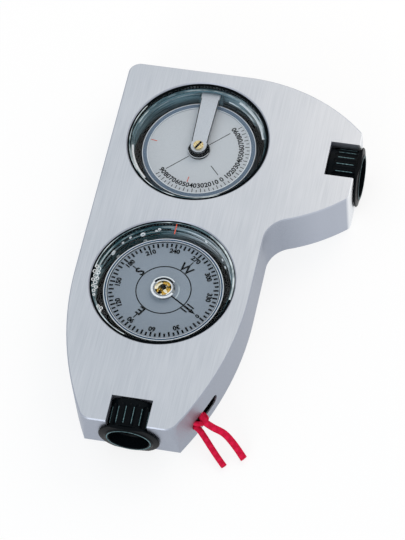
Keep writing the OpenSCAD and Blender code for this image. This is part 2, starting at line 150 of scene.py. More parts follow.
# route: depth inward from the wall, shift along it and height, in mm as in the solid
lanyardRoute = [
    (-11.8, -9.3, 1), (-9, -8.1, 1.5), (-6, -6.8, 2.5), (-3, -5.5, 3.7), (-1, -4.8, 4.4),
    (1.1, -4.6, 4.55), (3.3, -4.6, 4.55), (4.8, -3.9, 4.55), (5.3, -2.6, 4.55),
    (4.8, -1.3, 4.55), (3.3, -0.6, 4.55), (1.1, -0.6, 4.55), (-0.5, -1, 4.7),
    (-1.2, -1.9, 5.1), (-1.4, -3, 5.6), (-1, -4, 6.1), (0.2, -4.6, 6.25), (1.7, -4.6, 6.25),
    (3.3, -4.6, 6.25), (4.8, -3.9, 6.25), (5.3, -2.6, 6.25), (4.8, -1.3, 6.25),
    (3.3, -0.6, 6.25), (1.4, -1.2, 6.3), (-0.3, -2.2, 6.4), (-2, -2.9, 6.2), (-4.4, -2.8, 5.4),
    (-7.5, -2.2, 4), (-11, -2.9, 2.3), (-15.1, -4.6, 1),
]


def onWall(point):
    turn = math.radians(lanyard["wallAngle"])
    out = lanyard["wallRadius"] - point[0]
    return Vector((out * math.cos(turn) - point[1] * math.sin(turn) + lanyard["wallCentre"],
                   out * math.sin(turn) + point[1] * math.cos(turn), point[2])) * mm


def smoothPath(points, steps):
    path = []
    last = len(points) - 1
    for i in range(last):
        a, b = points[max(i - 1, 0)], points[i]
        c, d = points[i + 1], points[min(i + 2, last)]
        for k in range(steps):
            t = k / steps
            path.append(0.5 * (2 * b + (c - a) * t + (2 * a - 5 * b + 4 * c - d) * t * t
                               + (3 * b - 3 * c + d - a) * t ** 3))
    return path + [points[last]]


def sweepFlatCord(name, path):
    mesh = bpy.data.meshes.new(name)
    shape = bmesh.new()
    uvLayer = shape.loops.layers.uv.new("UVMap")
    sides = lanyard["sides"]
    rings, lengths = [], [0]
    across = (path[1] - path[0]).cross(Vector((0, 0, 1))).normalized()
    for i, point in enumerate(path):
        along = (path[min(i + 1, len(path) - 1)] - path[max(i - 1, 0)]).normalized()
        across = (across - across.dot(along) * along).normalized()
        other = along.cross(across)
        if i:
            lengths.append(lengths[-1] + (point - path[i - 1]).length)
        turns = [2 * math.pi * k / sides for k in range(sides)]
        wide = lanyard["wideStart"] + (lanyard["wideEnd"] - lanyard["wideStart"]) * i / len(path)
        rings.append([shape.verts.new(point + wide / 2 * math.cos(t) * across
                                      + lanyard["thick"] / 2 * math.sin(t) * other) for t in turns])
    for i in range(len(rings) - 1):
        for k in range(sides):
            n = (k + 1) % sides
            face = shape.faces.new((rings[i][k], rings[i][n], rings[i + 1][n], rings[i + 1][k]))
            face.smooth = True
            for loop, u, v in zip(face.loops, (k, k + 1, k + 1, k), (i, i, i + 1, i + 1)):
                loop[uvLayer].uv = (u / sides, lengths[v] / mm)
    for ring, flip in ((rings[0], True), (rings[-1], False)):
        cap = shape.faces.new(ring[::-1] if flip else ring)
        for loop in cap.loops:
            loop[uvLayer].uv = (0.5, lengths[0 if flip else -1] / mm)
    bmesh.ops.recalc_face_normals(shape, faces=shape.faces)
    shape.to_mesh(mesh)
    shape.free()
    piece = bpy.data.objects.new(name, mesh)
    bpy.context.scene.collection.objects.link(piece)
    return piece


def braidedPolyester():  # braided polyester: dull crimson with a slanting braid
    material, tree = newMaterial("braidedPolyesterCord")
    uv = addNode(tree, "ShaderNodeUVMap", {"uv_map": "UVMap"})
    repeat = 2 * math.pi / 10  # a diagonal wave repeats when its coordinates add up to this
    waves = []
    for turn in (1, -1):  # two families of strands cross, coarser than the real ones to show
        mapping = addNode(tree, "ShaderNodeMapping",
                          {"Scale": (lanyard["bandsRound"] * repeat,
                                     turn * repeat / lanyard["bandLong"], 1)},
                          {"Vector": uv.outputs["UV"]})
        waves.append(addNode(tree, "ShaderNodeTexWave",
                             {"wave_type": "BANDS", "bands_direction": "DIAGONAL", "Scale": 1.0,
                              "Distortion": 0.4, "Detail": 1.0},
                             {"Vector": mapping.outputs["Vector"]}))
    braid = addNode(tree, "ShaderNodeMath", {"operation": "MULTIPLY"},
                    {0: waves[0].outputs["Fac"], 1: waves[1].outputs["Fac"]})
    fuzz = stretchedNoise(tree, (0.4, 0.4, 0.4), 3)
    raised = addNode(tree, "ShaderNodeMapRange",
                     {"From Max": 0.6, "To Min": 0.35, "To Max": 0.8}, {"Value": braid.outputs[0]})
    uneven = addNode(tree, "ShaderNodeMapRange", {**noiseSpan, "To Min": -0.1, "To Max": 0.15},
                     {"Value": fuzz.outputs["Fac"]})
    shade = addNode(tree, "ShaderNodeMath", {"operation": "ADD"},
                    {0: raised.outputs[0], 1: uneven.outputs[0]})
    colour = twoTones(tree, shade.outputs[0], lanyard["redDark"], lanyard["red"], 0, 1)
    bump = addNode(tree, "ShaderNodeBump", {"Strength": 0.5, "Distance": 0.08 * mm},
                   {"Height": braid.outputs[0]})
    shader = addNode(tree, "ShaderNodeBsdfPrincipled",
                     {"Roughness": 0.85, "Specular IOR Level": 0.08},
                     {"Base Color": colour, "Normal": bump.outputs["Normal"]})
    addNode(tree, "ShaderNodeOutputMaterial", links={"Surface": shader.outputs["BSDF"]})
    return material


lanyardPath = smoothPath([onWall(p) for p in lanyardRoute], lanyard["stepsPerPoint"])
cord = sweepFlatCord("lanyardCord", lanyardPath)
cord.data.materials.append(braidedPolyester())
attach(cord, "body")
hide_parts("lanyard")
print("lanyard made")

# finishes of the solids
bodyFinish = {
    "faceDark": "#acb4be", "faceLight": "#bec5ce",
    # painted shade: the walls are coloured darker than the faces
    "shadedWallDark": "#9da4b1", "shadedWallPale": "#a9afbb",
    # painted light: the walls grow paler towards the lobe and are palest on its end
    "litLobeWall": "#b4bac6", "lobeFrom": 28 * mm, "lobeFull": 38 * mm,
    "litEndWall": "#eef1f5", "endFrom": 44.6 * mm, "endFull": 45.2 * mm,
    "slotShade": "#14171b", "slotReach": 7.5 * mm, "slotHalfHeight": 2.2 * mm,
    "slotLip": 0.4, "slotMiddle": (3.3, 0, 5.4),  # in the measures of the cord's route
}


def insideSlot(tree, coords):  # 1 on the cut faces of the lanyard slot, where hardly any light gets in
    middle = onWall(bodyFinish["slotMiddle"])
    flat = addNode(tree, "ShaderNodeVectorMath", {"operation": "MULTIPLY", 1: (1, 1, 0)}, {0: coords})
    fromAxis = addNode(tree, "ShaderNodeVectorMath",
                       {"operation": "DISTANCE", 1: (lanyard["wallCentre"] * mm, 0, 0)},
                       {0: flat.outputs["Vector"]})
    fromMiddle = addNode(tree, "ShaderNodeVectorMath", {"operation": "DISTANCE", 1: middle},
                         {0: coords})
    level = addNode(tree, "ShaderNodeSeparateXYZ", links={0: coords})
    offset = addNode(tree, "ShaderNodeMath", {"operation": "SUBTRACT", 1: middle.z},
                     {0: level.outputs["Z"]})
    height = addNode(tree, "ShaderNodeMath", {"operation": "ABSOLUTE"}, {0: offset.outputs[0]})
    inside = None
    for distance, limit in (
            (fromAxis.outputs["Value"], (lanyard["wallRadius"] - bodyFinish["slotLip"]) * mm),
            (fromMiddle.outputs["Value"], bodyFinish["slotReach"]),
            (height.outputs[0], bodyFinish["slotHalfHeight"])):
        near = addNode(tree, "ShaderNodeMath", {"operation": "LESS_THAN", 1: limit}, {0: distance})
        if inside:
            near = addNode(tree, "ShaderNodeMath", {"operation": "MULTIPLY"},
                           {0: inside.outputs[0], 1: near.outputs[0]})
        inside = near
    return inside.outputs[0]


def brushedAluminium():
    # aluminium, faces brushed lengthways, walls milled and blasted: soft grey sheen; the walls are
    # darker than the faces as painted shade
    material, tree = newMaterial("brushedAluminium")
    lines = stretchedNoise(tree, (0.3, 14, 1.5), 3, 0.6)  # real lines are 0.05 mm, coarser to show
    cloud = stretchedNoise(tree, (14, 22, 14))
    grit = stretchedNoise(tree, (0.25, 0.25, 0.25))  # blast marks of 0.1 mm, coarser to show
    coords = addNode(tree, "ShaderNodeTexCoord").outputs["Object"]
    place = addNode(tree, "ShaderNodeSeparateXYZ", links={0: coords})
    geometry = addNode(tree, "ShaderNodeNewGeometry")
    normal = addNode(tree, "ShaderNodeSeparateXYZ", links={0: geometry.outputs["Normal"]})
    upright = addNode(tree, "ShaderNodeMath", {"operation": "ABSOLUTE"}, {0: normal.outputs["Z"]})
    onFace = addNode(tree, "ShaderNodeMapRange", {"From Min": 0.75, "From Max": 0.95},
                     {"Value": upright.outputs[0]})
    lineTone = addNode(tree, "ShaderNodeMapRange", {**noiseSpan, "To Max": 0.7},
                       {"Value": lines.outputs["Fac"]})
    cloudTone = addNode(tree, "ShaderNodeMapRange", {**noiseSpan, "To Max": 0.3},
                        {"Value": cloud.outputs["Fac"]})
    faceTone = addNode(tree, "ShaderNodeMath", {"operation": "ADD"},
                       {0: lineTone.outputs[0], 1: cloudTone.outputs[0]})
    faceColour = twoTones(tree, faceTone.outputs[0], bodyFinish["faceDark"],
                          bodyFinish["faceLight"], 0, 1)
    # painted shade: the walls are darker than the faces
    shadedWallColour = twoTones(tree, grit.outputs["Fac"], bodyFinish["shadedWallDark"],
                          bodyFinish["shadedWallPale"])
    # painted light: the walls are painted paler towards the lobe, and palest on its end
    shadedWallColour = twoTones(tree, place.outputs["X"], shadedWallColour, bodyFinish["litLobeWall"],
                          bodyFinish["lobeFrom"], bodyFinish["lobeFull"])
    shadedWallColour = twoTones(tree, place.outputs["X"], shadedWallColour, bodyFinish["litEndWall"],
                          bodyFinish["endFrom"], bodyFinish["endFull"])
    colour = twoTones(tree, onFace.outputs[0], shadedWallColour, faceColour, 0, 1)
    colour = twoTones(tree, insideSlot(tree, coords), colour, bodyFinish["slotShade"], 0, 1)
    faceRough = addNode(tree, "ShaderNodeMapRange", {**noiseSpan, "To Min": 0.34, "To Max": 0.44},
                        {"Value": lines.outputs["Fac"]})
    rough = addNode(tree, "ShaderNodeMix", {"data_type": "FLOAT", 2: 0.5},
                    {0: onFace.outputs[0], 3: faceRough.outputs[0]})
    height = addNode(tree, "ShaderNodeMix", {"data_type": "FLOAT"},
                     {0: onFace.outputs[0], 2: grit.outputs["Fac"], 3: lines.outputs["Fac"]})
    bump = addNode(tree, "ShaderNodeBump", {"Strength": 0.12, "Distance": 0.05 * mm},
                   {"Height": height.outputs[0]})
    shader = addNode(tree, "ShaderNodeBsdfPrincipled", {"Metallic": 1.0},
                     {"Base Color": colour, "Roughness": rough.outputs[0],
                      "Normal": bump.outputs["Normal"]})
    addNode(tree, "ShaderNodeOutputMaterial", links={"Surface": shader.outputs["BSDF"]})
    return material


def turnedMetal(name, dark, light, rough):  # metal with faint tool marks: even tone, soft shine
    material, tree = newMaterial(name)
    marks = stretchedNoise(tree, (0.3, 0.3, 0.12))  # marks of 0.05 mm, coarser to show
    colour = twoTones(tree, marks.outputs["Fac"], dark, light)
    roughness = addNode(tree, "ShaderNodeMapRange",
                        {**noiseSpan, "To Min": rough - 0.06, "To Max": rough + 0.06},
                        {"Value": marks.outputs["Fac"]})
    shader = addNode(tree, "ShaderNodeBsdfPrincipled", {"Metallic": 1.0},
                     {"Base Color": colour, "Roughness": roughness.outputs[0]})
    addNode(tree, "ShaderNodeOutputMaterial", links={"Surface": shader.outputs["BSDF"]})
    return material


def polishedBrass():  # polished brass bearing: gold facets with painted black and white reflections
    material, tree = newMaterial("polishedBrassBearing")
    coords = addNode(tree, "ShaderNodeTexCoord")
    facets = addNode(tree, "ShaderNodeTexVoronoi", {"Scale": 1 / (0.95 * mm)},
                     {"Vector": coords.outputs["Object"]})
    pick = addNode(tree, "ShaderNodeSeparateColor", links={0: facets.outputs["Color"]})
    # painted reflections: black and white facets among the gold
    gold = twoTones(tree, pick.outputs["Red"], "#0c0b08", "#c39b3f", 0.38, 0.42)
    colour = twoTones(tree, pick.outputs["Red"], gold, "#efe6c8", 0.74, 0.78)
    shader = addNode(tree, "ShaderNodeBsdfPrincipled", {"Metallic": 1.0, "Roughness": 0.25},
                     {"Base Color": colour})
    addNode(tree, "ShaderNodeOutputMaterial", links={"Surface": shader.outputs["BSDF"]})
    return material


def lacqueredSheet(name, dark, light):  # satin lacquer on thin sheet: flat, very slight mottling
    material, tree = newMaterial(name)
    mottle = stretchedNoise(tree, (0.6, 0.6, 0.6), 3)
    colour = twoTones(tree, mottle.outputs["Fac"], dark, light, 0, 1)
    shader = addNode(tree, "ShaderNodeBsdfPrincipled", {"Roughness": 0.45}, {"Base Color": colour})
    addNode(tree, "ShaderNodeOutputMaterial", links={"Surface": shader.outputs["BSDF"]})
    return material


def mouldedPlastic(name, dark, light, rough, shine, index):
    # moulded nylon or rubber: fine grain and a soft shine, kept weak on the blacks
    material, tree = newMaterial(name)
    grain = stretchedNoise(tree, (0.25, 0.25, 0.25), 3)  # mould grain of 0.1 mm, coarser to show
    colour = twoTones(tree, grain.outputs["Fac"], dark, light)
    roughness = addNode(tree, "ShaderNodeMapRange",
                        {**noiseSpan, "To Min": rough - 0.05, "To Max": rough + 0.08},
                        {"Value": grain.outputs["Fac"]})
    bump = addNode(tree, "ShaderNodeBump", {"Strength": 0.15, "Distance": 0.03 * mm},
                   {"Height": grain.outputs["Fac"]})
    shader = addNode(tree, "ShaderNodeBsdfPrincipled", {"Specular IOR Level": shine, "IOR": index},
                     {"Base Color": colour, "Roughness": roughness.outputs[0],
                      "Normal": bump.outputs["Normal"]})
    addNode(tree, "ShaderNodeOutputMaterial", links={"Surface": shader.outputs["BSDF"]})
    return material


def clearPolished(name, tint, gloss):
    # polished clear acrylic, lens glass or jewel: tinted, with the light of the room on it
    material, tree = newMaterial(name)
    swirl = stretchedNoise(tree, (5, 5, 5))
    see = addNode(tree, "ShaderNodeBsdfTransparent", {"Color": linear(tint)})
    roughness = addNode(tree, "ShaderNodeMapRange", {**noiseSpan, "To Min": 0.01, "To Max": 0.06},
                        {"Value": swirl.outputs["Fac"]})
    shine = addNode(tree, "ShaderNodeBsdfGlossy", {"Color": linear("#f4f8fa")},
                    {"Roughness": roughness.outputs[0]})
    edge = addNode(tree, "ShaderNodeFresnel", {"IOR": 1.49})  # of acrylic, also on glass and jewel
    factor = addNode(tree, "ShaderNodeMath", {"operation": "MULTIPLY", 1: gloss},
                     {0: edge.outputs[0]})
    shader = addNode(tree, "ShaderNodeMixShader",
                     links={0: factor.outputs[0], 1: see.outputs[0], 2: shine.outputs[0]})
    addNode(tree, "ShaderNodeOutputMaterial", links={"Surface": shader.outputs[0]})
    return material


def capsuleWall(name, centre, reflectionTones):
    # clear moulded wall with painted reflections: its tone is painted by angle round the capsule,
    # streaked with bands, and darkened towards the bottom as painted shade
    material, tree = newMaterial(name)
    coords = addNode(tree, "ShaderNodeTexCoord").outputs["Object"]
    place = addNode(tree, "ShaderNodeVectorMath", {"operation": "SUBTRACT", 1: centre}, {0: coords})
    parts = addNode(tree, "ShaderNodeSeparateXYZ", links={0: place.outputs["Vector"]})
    angle = addNode(tree, "ShaderNodeMath", {"operation": "ARCTAN2"},
                    {0: parts.outputs["Y"], 1: parts.outputs["X"]})
    turn = addNode(tree, "ShaderNodeMapRange", {"From Min": -math.pi, "From Max": math.pi},
                   {"Value": angle.outputs[0]})
    # painted reflections and painted light: a tone for each angle round the capsule
    tone = addNode(tree, "ShaderNodeValToRGB", links={0: turn.outputs[0]})
    stops = tone.color_ramp.elements
    for degree, colour in reflectionTones:
        stop = stops.new((degree + 180) / 360)
        stop.color = linear(colour)
    stops.remove(stops[0])  # the node's own first and last stop
    stops.remove(stops[-1])
    around = addNode(tree, "ShaderNodeMath", {"operation": "MULTIPLY", 1: 1.4},
                     {0: angle.outputs[0]})
    high = addNode(tree, "ShaderNodeMath", {"operation": "DIVIDE", 1: 0.9 * mm},
                   {0: parts.outputs["Z"]})
    unrolled = addNode(tree, "ShaderNodeCombineXYZ", links={0: around.outputs[0], 2: high.outputs[0]})
    bands = addNode(tree, "ShaderNodeTexNoise", {"Scale": 1.0, "Detail": 2.0},
                    {"Vector": unrolled.outputs[0]})
    # painted reflections: dark bands streak the tone round the wall
    colour = twoTones(tree, bands.outputs["Fac"], "#24444b", tone.outputs["Color"], 0.32, 0.56)
    # painted shade: the wall darkens towards the bottom
    colour = twoTones(tree, parts.outputs["Z"], "#030607", colour, 6.5 * mm, 8.5 * mm)
    solid = addNode(tree, "ShaderNodeBsdfPrincipled", {"Roughness": 0.25, "Specular IOR Level": 0.4},
                    {"Base Color": colour})
    see = addNode(tree, "ShaderNodeBsdfTransparent", {"Color": linear("#8fa3ad")})
    shader = addNode(tree, "ShaderNodeMixShader", {0: 0.88}, {1: see.outputs[0], 2: solid.outputs[0]})
    addNode(tree, "ShaderNodeOutputMaterial", links={"Surface": shader.outputs[0]})
    return material


def printInk(name, dark, light):  # screen-printed ink, also used for painted highlights and painted shade: flat, slightly uneven
    material, tree = newMaterial(name)
    uneven = stretchedNoise(tree, (0.5, 0.5, 0.5))
    colour = twoTones(tree, uneven.outputs["Fac"], dark, light)
    shader = addNode(tree, "ShaderNodeBsdfPrincipled",
                     {"Roughness": 0.7, "Specular IOR Level": 0.05}, {"Base Color": colour})
    addNode(tree, "ShaderNodeOutputMaterial", links={"Surface": shader.outputs["BSDF"]})
    return material


def polishedEdge():  # painted glints on the edges of clear plastic: broken pale highlights on a dark line
    material, tree = newMaterial("paintedAcrylicGlints")
    patches = stretchedNoise(tree, (5, 5, 5))
    colour = twoTones(tree, patches.outputs["Fac"], "#3c5a63", "#c9d6da", 0.42, 0.6)
    shader = addNode(tree, "ShaderNodeBsdfPrincipled", {"Roughness": 0.3}, {"Base Color": colour})
    addNode(tree, "ShaderNodeOutputMaterial", links={"Surface": shader.outputs["BSDF"]})
    return material


bodyMetal = brushedAluminium()
brightMetal = turnedMetal("turnedAluminium", "#8c99a3", "#a7b1b9", 0.28)
armMetal = turnedMetal("satinSheetMetal", "#a9b0b8", "#bbc1c8", 0.4)
brass = turnedMetal("turnedBrass", "#7a6a34", "#b09a55", 0.18)
screwBrass = turnedMetal("polishedBrassScrew", "#a8873f", "#f0e2b4", 0.2)
bearingBrass = polishedBrass()
steel = turnedMetal("groundSteel", "#8b9095", "#abb0b5", 0.3)
magnetMetal = turnedMetal("sinteredMagnet", "#3c3f43", "#5a5e62", 0.5)
cardPaint = lacqueredSheet("cardLacquer", "#7a8692", "#8a96a1")
dialPaint = lacqueredSheet("dialLacquer", "#b6bcc1", "#c4c9cd")
wheelPlastic = mouldedPlastic("greyWheelPlastic", "#586b7e", "#67798c", 0.35, 0.2, 1.5)
# both blacks have an index below the real one, which keeps them as black as in the photograph
blackPlastic = mouldedPlastic("blackNylon", "#030507", "#0b1014", 0.3, 0.12, 1.25)
blackRubber = mouldedPlastic("blackRubber", "#030608", "#0b1013", 0.55, 0.03, 1.25)
lidAcrylic = clearPolished("lidAcrylic", "#fdfeff", 0.15)
hubAcrylic = clearPolished("hubAcrylic", "#dfe6e8", 6.0)
lensGlass = clearPolished("coatedLensGlass", "#8c9cab", 1.0)
jewelGlass = clearPolished("rubyJewel", "#c0405f", 0.5)
# angle round the capsule in degrees, painted reflection tone of the wall there
compassWallReflections = capsuleWall("compassCapsuleReflections", compassAxis, (
    (-179, "#c0dbe0"), (-165, "#c8dee2"), (-140, "#b4ccd2"), (-120, "#24545c"), (0, "#2c5c64"),
    (18, "#9db9c4"), (32, "#d6e4ea"), (55, "#e6eff2"), (72, "#d0e0e8"), (92, "#91adb8"),
    (108, "#427880"), (135, "#33666d"), (160, "#548790"), (170, "#b4d2d8")))
clinoWallReflections = capsuleWall("clinoCapsuleReflections", clinoAxis, (
    (-179, "#a4bfca"), (-160, "#dfeaee"), (-140, "#f0f4f6"), (-115, "#35545e"), (0, "#1c444c"),
    (14, "#6f929e"), (28, "#c6d8e0"), (42, "#eef3f6"), (58, "#a4bfca"), (85, "#62828e"),
    (110, "#7aa0ad"), (140, "#86aab6"), (165, "#94b4be")))
# black ink for the print, also used for painted shade and painted dark reflections
blackInkAndShade = printInk("blackInkAndShade", "#050709", "#101418")
inkRed = printInk("inkRed", "#c04a34", "#d86048")
# pale ink for the print, also used for painted highlights
paleInkAndHighlight = printInk("paleInkAndHighlight", "#dfe5e8", "#f2f5f6")
inkBlue = printInk("inkBlue", "#1f3f5c", "#365878")
# painted highlights on the eyepiece ribs and flange rims
eyeHighlight = printInk("paintedNylonHighlight", "#2a4a50", "#7d989c")
# painted highlights for the edges of the lids, capsules and hub
edgeGlint = polishedEdge()
finishes = {
    "housing": bodyMetal,
    "compass_capsule": compassWallReflections, "clino_capsule": clinoWallReflections,
    "compass_lid": lidAcrylic, "clino_lid": lidAcrylic,
    "compass_gasket": blackRubber, "clino_gasket": blackRubber,
    "compass_pivot_seat": brass, "clino_lower_bearing": brass,
    "compass_pivot": steel, "clino_shaft": steel, "clino_bracket_pin": steel,
    "lanyard_pin": steel,
    "compass_card": cardPaint, "compass_scale_ring": brightMetal,
    "compass_hub": bearingBrass, "clino_bearing_screw": screwBrass,
    "compass_hub_cap": hubAcrylic, "compass_jewel": jewelGlass,
    "compass_magnet_left": magnetMetal, "compass_magnet_right": magnetMetal,
    "clino_weight": magnetMetal,
    "clino_bracket": armMetal, "clino_dial": dialPaint, "clino_scale_ring": wheelPlastic,
    "clino_hub_ring": blackPlastic,
    "compass_sight_window": lensGlass, "clino_sight_window": lensGlass,
    "compass_eyepiece": blackPlastic, "clino_eyepiece": blackPlastic,
    "compass_eye_lens": lensGlass, "clino_eye_lens": lensGlass,
    "compass_lens_ring": blackPlastic, "clino_lens_ring": blackPlastic,
    "compass_o_ring": blackRubber, "clino_o_ring": blackRubber,
}
for nodeName, material in finishes.items():
    nodes[nodeName].data.materials.clear()
    nodes[nodeName].data.materials.append(material)
print("solids finished")

# printing and painted light and shade: every mark is a thin raised layer
ink = {"thick": 0.03 * mm, "lift": 0.02 * mm, "bold": 0.03, "curveSteps": 3, "ringSides": 96,
       "arcStep": 3}  # degrees


def turnedTo(centre, angle, radius, height, spin=0):
    return (Matrix.Translation(centre) @ Matrix.Rotation(math.radians(angle), 4, "Z")
            @ Matrix.Translation((radius, 0, height)) @ Matrix.Rotation(math.radians(spin), 4, "Z"))


def onSkirt(centre, angle, radius, height):  # upright on a round wall, facing outwards
    return (turnedTo(centre, angle, radius, height, 90)
            @ Matrix.Rotation(math.radians(90), 4, "X"))


def above(centre, height):
    return Matrix.Translation(centre) @ Matrix.Translation((0, 0, height))


def inkBar(long, wide):
    bpy.ops.mesh.primitive_cube_add(size=1, location=(0, 0, 0))
    bar = bpy.context.object
    bar.data.transform(Matrix.Diagonal((long, wide, ink["thick"], 1)))
    bar.data.transform(Matrix.Translation((0, 0, ink["thick"] / 2)))
    return bar


def inkText(words, size, bold=ink["bold"]):
    bpy.ops.object.text_add(location=(0, 0, 0))
    text = bpy.context.object
    text.data.body = words
    text.data.size = size
    text.data.align_x = "CENTER"
    text.data.align_y = "CENTER"
    text.data.extrude = ink["thick"] / 2
    text.data.offset = size * bold
    text.data.resolution_u = ink["curveSteps"]
    deselectAll()
    text.select_set(True)
    bpy.context.view_layer.objects.active = text
    bpy.ops.object.convert(target="MESH")
    text = bpy.context.object
    text.data.transform(Matrix.Translation((0, 0, ink["thick"] / 2)))
    return text


def thickened(flat):  # the layer stands on its level whichever way its faces look
    layer = flat.modifiers.new("layer", "SOLIDIFY")
    layer.thickness = ink["thick"]
    layer.offset = 0
    bpy.ops.object.modifier_apply(modifier="layer")
    flat.data.transform(Matrix.Translation((0, 0, ink["thick"] / 2)))
    return flat


def inkRing(radius, wide):
    inner, outer = radius - wide / 2, radius + wide / 2
    bpy.ops.mesh.primitive_circle_add(vertices=ink["ringSides"], radius=inner,
                                      location=(0, 0, 0))
    ring = bpy.context.object
    bpy.ops.object.mode_set(mode="EDIT")
    bpy.ops.mesh.select_all(action="SELECT")
    bpy.ops.mesh.extrude_edges_move()
    bpy.ops.transform.resize(value=(outer / inner, outer / inner, 1))
    bpy.ops.mesh.select_all(action="SELECT")
    bpy.ops.mesh.normals_make_consistent(inside=False)
    bpy.ops.object.mode_set(mode="OBJECT")
    return thickened(ring)


def inkArc(radius, wide, start, end):  # a plane drawn in to one edge, which is spun
    steps = max(int((end - start) / ink["arcStep"]), 4)
    bpy.ops.mesh.primitive_plane_add(size=wide, location=(0, 0, 0))
    arc = bpy.context.object
    bpy.ops.object.mode_set(mode="EDIT")
    bpy.ops.mesh.select_all(action="SELECT")
    bpy.ops.transform.resize(value=(1, 0, 1))
    bpy.ops.mesh.remove_doubles(threshold=0.001 * mm)
    bpy.ops.transform.translate(value=(radius, 0, 0))
    bpy.ops.mesh.spin(steps=steps, angle=math.radians(end - start), center=(0, 0, 0),
                      axis=(0, 0, -1))
    bpy.ops.mesh.select_all(action="SELECT")
    bpy.ops.mesh.normals_make_consistent(inside=False)
    bpy.ops.object.mode_set(mode="OBJECT")
    arc.data.transform(Matrix.Rotation(math.radians(start), 4, "Z"))
    return thickened(arc)


def arrowHead(long, wide):  # points along X; the first triangle is 1.5 long and root 3 wide
    bpy.ops.mesh.primitive_circle_add(vertices=3, radius=1, fill_type="NGON", location=(0, 0, 0))
    head = bpy.context.object
    head.data.transform(Matrix.Rotation(math.radians(-90), 4, "Z"))
    head.data.transform(Matrix.Diagonal((long / 1.5, wide / math.sqrt(3), 1, 1)))
    return thickened(head)


def placed(piece, matrix):
    piece.data.transform(matrix)
    return piece


def repeated(model, places):  # a copy with a mesh of its own at each place
    copies = []
    for place in places:
        other = model.copy()
        other.data = model.data.copy()
        bpy.context.scene.collection.objects.link(other)
        copies.append(placed(other, place))
    bpy.data.objects.remove(model)
    return copies


def joined(name, pieces, material, body):
    deselectAll()
    for piece in pieces:
        piece.data.materials.clear()
        piece.select_set(True)
    bpy.context.view_layer.objects.active = pieces[0]
    if len(pieces) > 1:
        bpy.ops.object.join()
    whole = bpy.context.view_layer.objects.active
    whole.name = name
    whole.data.materials.append(material)
    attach(whole, body)
    return whole


def rimRings(name, centre, height, rings, body):
    for number, (radius, wide, material) in enumerate(rings):
        ring = placed(inkRing(radius * mm, wide * mm), above(centre, height))
        joined(f"{name}{number}", [ring], material, body)


# compass card print
card = {
    "north": -32, "tickOuter": 15.2 * mm, "tickLong": 1.45 * mm, "tickShort": 1.1 * mm,
    "tickWide": 0.54 * mm, "numberRadius": 12.8 * mm, "numberSize": 1.9 * mm,
    "zeroSize": 1.71 * mm, "numberBold": 0.055, "letterRadius": 8.9 * mm, "letterSize": 3.7 * mm,
    "spokeRadius": 11.1 * mm, "spokeLong": 1.5 * mm, "spokeWide": 0.32 * mm,
    "circles": ((7.6 * mm, 0.32 * mm), (15.56 * mm, 0.16 * mm)),
    "strokeLong": 2.5 * mm, "strokeWide": 0.46 * mm, "strokeApart": 1.05 * mm,
    "strokeShift": 0.35 * mm,
    # radius, length and width of the needle line, and of its thick stretch between the strokes
    "needle": ((6.4 * mm, 8 * mm, 0.44 * mm), (9.1 * mm, 2.4 * mm, 0.66 * mm)),
    "arrowRadius": 10.7 * mm, "arrowLong": 2 * mm, "arrowWide": 1.3 * mm,
    # radius and width in mm, ink
    "rimRings": ((16.46, 0.24, paleInkAndHighlight), (16.13, 0.42, inkBlue), (15.81, 0.16, paleInkAndHighlight)),
}
cardTop = topOf("compass_card")


def onCard(degree, radius, spin=0):
    return turnedTo(compassAxis, card["north"] - degree, radius, cardTop, spin)


marks = []
for first, long in ((0, card["tickLong"]), (5, card["tickShort"])):
    marks += repeated(inkBar(long, card["tickWide"]),
                      [onCard(degree, card["tickOuter"] - long / 2)
                       for degree in range(first, 360, 10)])
for degree in range(0, 360, 30):
    size = card["numberSize"] if degree else card["zeroSize"]
    marks.append(placed(inkText(str(degree), size, card["numberBold"]),
                        onCard(degree, card["numberRadius"], -90)))
for degree, letter in ((90, "E"), (180, "S"), (270, "W")):
    marks.append(placed(inkText(letter, card["letterSize"]),
                        onCard(degree, card["letterRadius"], -90)))
marks += repeated(inkBar(card["spokeLong"], card["spokeWide"]),
                  [onCard(degree, card["spokeRadius"]) for degree in (90, 180, 270)])
# the N is two strokes, and the needle line takes the place of the slanting third one
marks += repeated(inkBar(card["strokeLong"], card["strokeWide"]),
                  [onCard(0, card["letterRadius"])
                   @ Matrix.Translation((side * card["strokeShift"], side * card["strokeApart"], 0))
                   for side in (-1, 1)])
for radius, long, wide in card["needle"]:
    marks.append(placed(inkBar(long, wide), onCard(0, radius)))
for radius, wide in card["circles"]:
    marks.append(placed(inkRing(radius, wide), above(compassAxis, cardTop)))
joined("cardPrint", marks, blackInkAndShade, "card")
joined("cardArrow", [placed(arrowHead(card["arrowLong"], card["arrowWide"]),
                            onCard(0, card["arrowRadius"]))], blackInkAndShade, "card")
rimRings("cardRimLine", compassAxis, topOf("compass_scale_ring"), card["rimRings"],
         "card")

# painted highlights and painted dark reflections on the clear cap of the hub, and a faint painted
# glint on the card beside it
hub = {
    "lift": {"compass_hub_cap": 0.05 * mm, "compass_card": 0.02 * mm},
    # radius and width in mm, first and last angle, material, node that carries it
    "crescents": ((3.15, 0.6, 150, 335, paleInkAndHighlight, "compass_hub_cap"),
                  (2.95, 0.55, 40, 150, blackInkAndShade, "compass_hub_cap"),
                  (3.5, 0.3, 40, 150, paleInkAndHighlight, "compass_hub_cap"),
                  (2.45, 0.3, -60, 150, paleInkAndHighlight, "compass_hub_cap"),
                  (4.3, 0.3, -30, 45, edgeGlint, "compass_card")),
}
for number, (radius, wide, start, end, material, carrier) in enumerate(hub["crescents"]):
    crescent = placed(inkArc(radius * mm, wide * mm, start, end),
                      above(compassAxis, topOf(carrier) + hub["lift"][carrier]))
    joined(f"hubReflection{number}", [crescent], material, "card")

